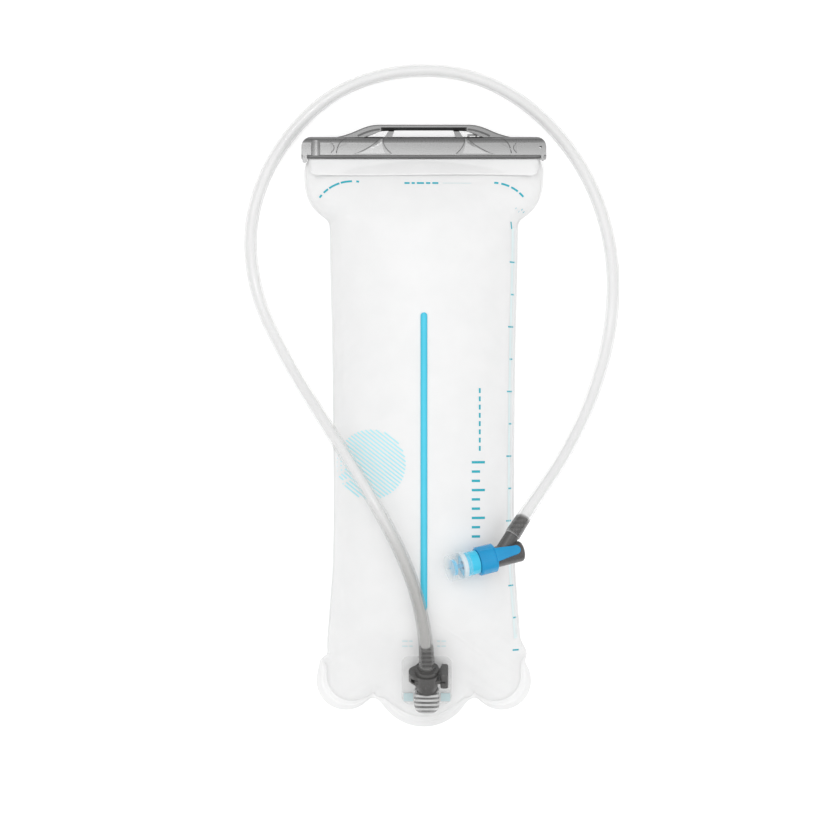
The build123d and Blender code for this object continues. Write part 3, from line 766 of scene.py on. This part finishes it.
class Inflation:
    """Height pattern of the inflated film: 0 at the weld, and rounded like a pillow inside."""

    def __init__(self, weld):
        above = np.array([[weld[-1][0], MOUTH_Y + 0.03], [weld[0][0], MOUTH_Y + 0.03], weld[0]])
        self.line = np.concatenate([weld, above])
        self.xs = np.arange(-0.088, 0.0881, PITCH)
        self.ys = np.arange(-0.214, MOUTH_Y + 0.034, PITCH)
        grid_x, grid_y = np.meshgrid(self.xs, self.ys)
        inside = inside_line(grid_x, grid_y, self.line)
        away = distance_to_line(grid_x, grid_y, self.line)
        deflection = solve_membrane(inside)
        good = inside & (away > 2.5 * PITCH)
        slope = np.where(good, deflection / np.maximum(away, PITCH), 0.0)
        weight = good.astype(float)
        # Carry the slope out over the cells beside the weld, where the grid is too coarse.
        for _ in range(8):
            around_slope = self.spread(slope)
            around_weight = self.spread(weight)
            fill = (weight == 0) & (around_weight > 0)
            slope[fill] = around_slope[fill] / around_weight[fill]
            weight[fill] = 1.0
        self.slope = slope

    @staticmethod
    def spread(values):
        """Sum over the eight neighbours."""
        padded = np.pad(values, 1)
        rows, columns = values.shape
        total = -values
        for i in range(3):
            for j in range(3):
                total = total + padded[i:i + rows, j:j + columns]
        return total

    def at(self, x, y):
        """Pattern at points; x and y are arrays."""
        fx = np.clip((x - self.xs[0]) / PITCH, 0, len(self.xs) - 1.001)
        fy = np.clip((y - self.ys[0]) / PITCH, 0, len(self.ys) - 1.001)
        i, j = fy.astype(int), fx.astype(int)
        ty, tx = fy - i, fx - j
        s = self.slope
        slope = ((s[i, j] * (1 - tx) + s[i, j + 1] * tx) * (1 - ty)
                 + (s[i + 1, j] * (1 - tx) + s[i + 1, j + 1] * tx) * ty)
        away = distance_to_line(x, y, self.line)
        away = np.where(inside_line(x, y, self.line), away, 0.0)
        return np.sqrt(np.maximum(slope * away, 0.0)), away


def port_face(y):
    """Height of the flat sloping face under the port."""
    return PORT_FOOT[1] + (y - PORT_FOOT[0]) * math.tan(PORT_SLOPE)


def film_height(x, y, side):
    """Height of a film half above the table at points; side is +1 front, -1 rear."""
    x, y = np.asarray(x, float), np.asarray(y, float)
    pattern, away = inflation.at(x, y)
    table = FRONT_CROWN if side > 0 else REAR_CROWN
    low = table[-1][0]
    middle_y = np.linspace(low, MOUTH_Y, 120)
    middle, _ = inflation.at(np.zeros_like(middle_y), middle_y)
    scale = through(table, middle_y) / middle
    height = pattern * np.interp(np.clip(y, low, MOUTH_Y), middle_y, scale)
    # Small puckers that run in from the weld, and slow dents in the slack film.
    along = y + 0.7 * np.abs(x)
    pucker = np.sin(along / PUCKER_SPACING + 2.2 * np.sin(along / 0.017 + side))
    height += PUCKER_HEIGHT * pucker * np.exp(-away / PUCKER_REACH) * smooth(away, 0.0, 0.004)
    fold = np.sin((y - 0.35 * np.abs(x)) / FOLD_SPACING + 1.1 * np.sin(x / 0.004))
    fold *= np.exp(-(((y - SHOULDER_Y) / 0.010) ** 2)) * np.exp(-away / FOLD_REACH)
    height += FOLD_HEIGHT * fold * smooth(away, 0.0, 0.005)
    dent = np.sin(y / 0.019 + 1.3 * side) * np.sin(x / 0.013 + y / 0.047 + side)
    height += DENT_HEIGHT * dent * smooth(away, 0.004, 0.030)
    if side < 0:
        # The rear lies on the table: its crown is pressed flat there.
        over = height - REST_DEPTH
        height = REST_DEPTH + 0.5 * (over - np.sqrt(over**2 + REST_ROUNDING**2))
        height = np.maximum(height, 0.0)
    z = SEAM_Z + side * (height + FLANGE_HALF)
    if side > 0:
        # The stiff port plate holds the film flat under it.
        near = 1.0 - smooth(np.abs(x - PORT_X), *PORT_FLAT_X)
        near = near * smooth(y, *PORT_FLAT_LOW) * (1.0 - smooth(y, *PORT_FLAT_HIGH))
        z = z * (1 - near) + port_face(y) * near
    return z


# Rows of the flat weld: (share of its width from the inner line out, height of its ridge).
WELD_ROWS = [
    (0.16, 0.0), (0.22, 0.00028), (0.28, 0.0), (0.50, 0.0),
    (0.56, 0.00028), (0.62, 0.0), (0.94, 0.0), (1.0, -FLANGE_HALF),
]


def film_half(name, node, side, edge, materials):
    """Mesh of one film half: rows from the middle line out to the cut edge."""
    starts, runs, weld = ribs(edge)
    rows = []
    # Dense near the weld, where the film turns sharply.
    for part in 1.0 - (1.0 - np.linspace(0.0, 1.0, FILM_ROWS)) ** 1.9:
        plan = starts + runs * (part * (1.0 - weld))[:, None]
        rows.append(np.column_stack([plan, film_height(plan[:, 0], plan[:, 1], side)]))
    ridge_share = np.minimum(1.0, weld_inset(edge) / MIDDLE_INSET)
    for share, ridge in WELD_ROWS:
        plan = starts + runs * (1.0 - weld * (1.0 - share))[:, None]
        lift = FLANGE_HALF + ridge * ridge_share
        rows.append(np.column_stack([plan, SEAM_Z + side * lift]))
    obj = grid_object(name, np.stack(rows), side > 0, "reservoir", materials["film"])
    mesh = bmesh.new()
    mesh.from_mesh(obj.data)
    bmesh.ops.remove_doubles(mesh, verts=mesh.verts, dist=SAME_POINT)
    mesh.to_mesh(obj.data)
    mesh.free()
    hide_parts(node)
    return obj


# ------------------------------------------------------------------ mouth
RAIL_TOP_Y = 0.1974          # the film ends just under the rails' upper edge
RAIL_HALF = 0.0798
MOUTH_FILM = 0.0003          # film faces from the seam plane, between the rails
# Rows of the mouth: (height, share of the bag's depth that is left there).
# The bar's lips start at 0.1868 and leave 2.6 mm to each side of the seam plane.
MOUTH_ROWS = [(MOUTH_Y, 1.0), (0.18675, 0.54), (0.1876, 0.40), (0.1885, 0.18), (0.1892, 0.05),
              (0.1897, 0.0), (RAIL_TOP_Y, 0.0)]


def make_mouth(side, name, materials):
    """One film half between the bag and the rails that grip it under the slide bar."""
    rows = []
    bag_half = EDGE_STATIONS[0][1] - SIDE_INSET
    for y, share in MOUTH_ROWS:
        half = RAIL_HALF + (bag_half - RAIL_HALF) * share
        xs = np.linspace(-half, half, 81)
        rise = film_height(xs, np.full(len(xs), MOUTH_Y), side) - SEAM_Z
        z = SEAM_Z + rise * share + side * MOUTH_FILM * (1.0 - share)
        rows.append(np.column_stack([xs, np.full(len(xs), y), z]))
    mouth = grid_object(name, np.stack(rows), side < 0, "reservoir", materials["film"])


# ------------------------------------------------------------------ folded flap
FLAP_TOP_Y = 0.1864
FLAP_BOTTOM_Y = 0.1746
FLAP_HALF = 0.0803
FLAP_CORNER = 0.0056         # radius of its lower corners
FLAP_RISE = (0.0048, 0.0100)     # its least height above the seam, at its top and bottom
FLAP_CLEAR = (0.0007, 0.0012)    # and above the film under it
FLAP_WAVE = 0.0003
FLAP_THICKNESS = 0.0005


def make_flap(materials):
    """Free edge of the mouth film, folded down over the front below the slide bar."""
    xs = np.linspace(-FLAP_HALF, FLAP_HALF, 121)
    rows = []
    for t in np.linspace(0.0, 1.0, 13):
        inward = np.maximum(np.abs(xs) - (FLAP_HALF - FLAP_CORNER), 0.0)
        rise = FLAP_CORNER - np.sqrt(np.maximum(FLAP_CORNER**2 - inward**2, 0.0))
        bottom = FLAP_BOTTOM_Y + rise + FLAP_WAVE * np.sin(xs / 0.021)
        y = FLAP_TOP_Y + (bottom - FLAP_TOP_Y) * t
        stiff = SEAM_Z + np.interp(t, (0.0, 1.0), FLAP_RISE)
        under = np.maximum(film_height(xs * 0.985, y, 1), stiff)
        clear = np.interp(t, (0.0, 1.0), FLAP_CLEAR)
        z = under + clear + FLAP_WAVE * np.sin(xs / 0.016) * t
        rows.append(np.column_stack([xs, y, z]))
    flap = grid_object("flap_film", np.stack(rows, 1), False, "reservoir", materials["flap"])
    thicken(flap, FLAP_THICKNESS)
    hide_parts("top_flap")


# ------------------------------------------------------------------ strip and prints
def drape(node):
    """Height of the upper side of a CAD node, as a function of x and y."""
    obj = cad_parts[node]
    points = [obj.matrix_world @ v.co for v in obj.data.vertices]
    tree = BVHTree.FromPolygons(points, [tuple(p.vertices) for p in obj.data.polygons])

    def height(x, y):
        found = []
        for a, b in zip(x, y):
            place, _, _, _ = tree.ray_cast(Vector((a, b, 0.2)), Vector((0, 0, -1)))
            if place is None:
                place, _, _, _ = tree.find_nearest(Vector((a, b, 0.035)))
            found.append(place.z)
        return np.array(found)

    return height


def ribbon_mesh(name, ribbons, material, lift, surface=None, body="reservoir"):
    """Flat marks laid on the front film; a ribbon is (centre points, widths)."""
    surface = surface or (lambda x, y: film_height(x, y, 1))
    lines, counts = [], []
    for centre, width in ribbons:
        centre = np.asarray(centre, float)
        along = np.gradient(centre, axis=0)
        along /= np.linalg.norm(along, axis=1)[:, None]
        across = np.stack([-along[:, 1], along[:, 0]], 1) * (np.asarray(width) / 2).reshape(-1, 1)
        lines.append(np.stack([centre + across, centre, centre - across], 1).reshape(-1, 2))
        counts.append(len(centre))
    flat = np.concatenate(lines)
    z = surface(flat[:, 0], flat[:, 1]) + lift
    faces, first = [], 0
    for count in counts:
        faces += grid_faces(count, 3, first=first)
        first += 3 * count
    obj = mesh_object(name, np.column_stack([flat, z]), faces, body, material)
    return obj


def straight(x0, y0, x1, y1, step=RIBBON_STEP):
    """Points along a straight stretch, at least two."""
    count = max(2, int(math.hypot(x1 - x0, y1 - y0) / step) + 2)
    return np.stack([np.linspace(x0, x1, count), np.linspace(y0, y1, count)], 1)


def round_ended(x, low, high, width):
    """Vertical bar with round ends: its centre points and widths."""
    radius = width / 2
    ends = radius * (1 - np.cos(np.linspace(0, math.pi / 2, 7)))
    between = np.arange(low + RIBBON_STEP, high - RIBBON_STEP, RIBBON_STEP)
    ys = np.concatenate([low + ends, between, (high - ends)[::-1]])
    gap = np.minimum(np.minimum(ys - low, high - ys), radius)
    widths = 2 * np.sqrt(np.maximum(radius**2 - (radius - gap) ** 2, 1e-10))
    return np.stack([np.full(len(ys), x), ys], 1), widths


def make_strip(materials):
    """Blue baffle strip: seen sharp through the film, so it lies on its outer face."""
    ribbon = round_ended(0.0, STRIP_LOW, STRIP_HIGH, STRIP_WIDTH)
    strip = ribbon_mesh("baffle_strip_film", [ribbon], materials["strip"], STRIP_LIFT)
    thicken(strip, STRIP_THICKNESS)
    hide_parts("baffle_strip_front")


def hatched_disc():
    """Generic round patch of parallel lines."""
    direction = np.array([math.cos(DISC_ANGLE), math.sin(DISC_ANGLE)])
    normal = np.array([-direction[1], direction[0]])
    ribbons = []
    for offset in np.arange(-DISC_RADIUS + DISC_PITCH / 2, DISC_RADIUS, DISC_PITCH):
        half = math.sqrt(DISC_RADIUS**2 - offset**2)
        start = np.array(DISC_CENTRE) + normal * offset - direction * half
        end = start + direction * 2 * half
        ribbons.append((straight(*start, *end), DISC_LINE))
    return ribbons


def side_x(y, inset):
    """Place a given distance in from the right edge."""
    return through(EDGE_STATIONS, y) - inset


def scale_ribbons():
    """Volume scale along the right edge: long and short ticks in turn."""
    ribbons = []
    for number in range(SCALE_TICKS):
        y = SCALE_TOP_Y - SCALE_PITCH * number
        long = 0.0044 if number % 2 == 0 else 0.0028
        x = float(side_x(y, 0.0016))
        ribbons.append((straight(x - long, y, x, y, 0.001), 0.0011))
    return ribbons


def dash_row(x, y, lengths, gap, width):
    """Row of level dashes from x on."""
    ribbons = []
    for length in lengths:
        ribbons.append((straight(x, y, x + length, y), width))
        x += length + gap
    return ribbons


def arc_dashes(centre_x, centre_y, radius, angles, width):
    """Dashes along a circle; angles are (start, end) pairs in degrees."""
    return [(arc_points(centre_x, centre_y, radius, a, b, 7), width) for a, b in angles]


def bezier(a, b, c, count=9):
    """Points of a curve from a to c that passes near b."""
    a, b, c = np.array(a), np.array(b), np.array(c)
    t = np.linspace(0.0, 1.0, count)[:, None]
    return (1 - t) ** 2 * a + 2 * t * (1 - t) * (2 * b - (a + c) / 2) + t**2 * c


def make_slide_light_and_shade(materials):
    """Moulded relief on the front of the slide bar, as painted light and shade: the feet that
    flare from the handle's struts are a painted highlight, the arcs beside them and the line
    along the lower lip painted shade."""
    surface = drape("slide_bar")
    lines = []
    points, faces = [], []
    columns = 7
    for side in (-1.0, 1.0):
        flip = np.array([side, 1.0])
        lines += [(bezier(*curve) * flip, width) for width, curve in SHADE_LINE_CURVES]
        outer, inner = (bezier(*curve) * flip for curve in LIT_FOOT_SIDES)
        faces += grid_faces(len(outer), columns, side > 0, len(points))
        for a, b in zip(outer, inner):
            points += [a + (b - a) * k / (columns - 1) for k in range(columns)]
    # Painted shade along the lower lip.
    lines.append((straight(-LIP_HALF, LIP_Y, LIP_HALF, LIP_Y), 0.0014))
    ribbon_mesh("slide_painted_shade_lines", lines, materials["groove"], SHADE_LINE_LIFT, surface, "slide")
    # The feet are painted lighter than the bar: a painted highlight.
    points = np.array(points)
    z = surface(points[:, 0], points[:, 1]) + LIT_FOOT_LIFT
    feet = mesh_object("slide_painted_light_feet", np.column_stack([points, z]), faces, "slide",
                       materials["lit_facet"])


def make_prints(materials):
    """Printed marks, all of them plain dashes, bars, ticks and lines."""
    ribbon_mesh("print_hatched_disc", hatched_disc(), materials["pale_ink"], PRINT_LIFT)
    bars = []
    for number in range(9):
        y = BARS_TOP_Y - BARS_PITCH * number
        length = 0.0092 if number % 3 == 0 else 0.0058
        bars.append((straight(BARS_X, y, BARS_X + length, y), 0.0017))
    for number in range(8):
        y = DASHES_TOP_Y - DASHES_PITCH * number
        bars.append((straight(DASHES_X, y, DASHES_X, y - DASH_LENGTH), 0.0013))
    ribbon_mesh("print_bars", bars, materials["ink"], PRINT_LIFT)
    ribbon_mesh("print_scale", scale_ribbons(), materials["ink"], SCALE_LIFT)
    ys = np.linspace(0.138, -0.148, 240)
    band = np.stack([side_x(ys, 0.0036), ys], 1)
    ribbon_mesh("print_scale_band", [(band, 0.0026)], materials["scale_band"], BAND_LIFT)
    top = dash_row(-0.0135, FILL_LINE_Y, [0.0036, 0.0022, 0.0050, 0.0030, 0.0042], 0.0014, 0.0013)
    top += arc_dashes(-0.0500, 0.1420, 0.0284, [(80, 84), (90, 106), (108, 124), (126, 134),
                                                (138, 143)], 0.0014)
    top += arc_dashes(0.0480, 0.1410, 0.0283, [(88, 82), (78, 66), (63, 52), (49, 41)], 0.0014)
    top += [(straight(0.0640, 0.1515, 0.0662, 0.1492), 0.0013),
            (straight(0.0682, 0.1508, 0.0698, 0.1490), 0.0016),
            (straight(0.0606, 0.1420, 0.0612, 0.1370), 0.0009)]
    ribbon_mesh("print_fill_marks", top, materials["ink"], PRINT_LIFT)
    line = straight(0.0130, FILL_LINE_Y, 0.0330, FILL_LINE_Y)
    ribbon_mesh("print_fill_line", [(line, 0.0004)], materials["pale_teal"], PRINT_LIFT)
    notes = []
    for y in (-0.1486, -0.1522):
        notes += dash_row(-0.0150, y, [0.0038, 0.0024], 0.0010, 0.0010)
        notes += dash_row(0.0092, y, [0.0020, 0.0030], 0.0010, 0.0010)
    ribbon_mesh("print_port_notes", notes, materials["pale_teal"], PRINT_LIFT)
    pads = [(straight(x, -0.1862, x, -0.1922, 0.002), 0.0066) for x in (-0.0108, 0.0152)]
    lift = PLATE_HEIGHT / math.cos(PORT_SLOPE)
    ribbon_mesh("print_port_pads", pads, materials["pale_teal"], lift + 0.0001,
                lambda x, y: port_face(y))


# ------------------------------------------------------------------ studio
def make_studio():
    """Pale floor and broad soft light that is brightest overhead."""
    floor_material, tree, shader = new_material("studio_floor")
    shader.inputs["Base Color"].default_value = (0.93, 0.93, 0.93, 1.0)
    shader.inputs["Roughness"].default_value = 0.9
    shader.inputs["Emission Color"].default_value = (1.0, 1.0, 1.0, 1.0)
    shader.inputs["Emission Strength"].default_value = FLOOR_GLOW
    half = FLOOR_HALF
    corners = [(-half, -half, 0), (half, -half, 0), (half, half, 0), (-half, half, 0)]
    floor = mesh_object("studio_floor", corners, [(0, 1, 2, 3)], None, floor_material)
    world = bpy.data.worlds.new("studio_world")
    world.use_nodes = True
    tree = world.node_tree
    background = tree.nodes["Background"]
    background.inputs["Color"].default_value = (1.0, 1.0, 1.0, 1.0)
    coords = tree.nodes.new("ShaderNodeTexCoord")
    split = tree.nodes.new("ShaderNodeSeparateXYZ")
    tree.links.new(coords.outputs["Generated"], split.inputs["Vector"])
    tree.links.new(remap(tree, split.outputs["Z"], (0.05, 0.95), (WORLD_LOW, WORLD_HIGH)),
                   background.inputs["Strength"])
    scene.world = world
    for name, place, width, power in LIGHTS:
        data = bpy.data.lights.new(name, "AREA")
        data.size = width
        data.energy = power
        light = link(bpy.data.objects.new(name, data))
        light.location = place
        light.rotation_mode = "QUATERNION"
        light.rotation_quaternion = Vector(place).to_track_quat("Z", "Y")
    scene.view_settings.view_transform = "Standard"
    scene.view_settings.look = "None"


# ------------------------------------------------------------------ build
make_camera()
materials = make_materials()
hose_wall, hose_bore, hose_path = make_hose(materials)

NODE_MATERIALS = {
    "baffle_strip_rear": "strip",
    "rail_front": "grey",
    "rail_rear": "grey",
    "slide_bar": "grey",
    "port_plate": "plate",
    "port_socket": "clear",
    "coupler_body": "dark",
    "coupler_seal": "rubber",
    "latch_button": "dark",
    "latch_spring": "steel",
    "poppet": "dark",
    "poppet_spring": "steel",
    "plug_body": "dark",
    "plug_seal": "rubber",
    "elbow_body": "dark",
    "shutoff_sleeve": "blue",
    "valve_barrel": "barrel",
    "barrel_seal": "rubber",
    "bite_core": "core",
    "mouthpiece": "silicone",
}
for node, material in NODE_MATERIALS.items():
    dress_node(node, materials[material])
for node in ("slide_bar", "coupler_body", "latch_button", "elbow_body", "shutoff_sleeve"):
    soften(node)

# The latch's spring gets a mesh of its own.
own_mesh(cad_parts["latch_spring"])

film_edge = cut_edge()
rib_starts, rib_runs, rib_weld = ribs(film_edge)
inflation = Inflation(rib_starts + rib_runs * (1.0 - rib_weld)[:, None])
film_half("front_film", "bag_front_panel", 1, film_edge, materials)
film_half("rear_film", "bag_rear_panel", -1, film_edge, materials)
make_mouth(1, "mouth_film_front", materials)
make_mouth(-1, "mouth_film_rear", materials)
make_flap(materials)
make_strip(materials)
make_prints(materials)
make_slide_light_and_shade(materials)
make_studio()
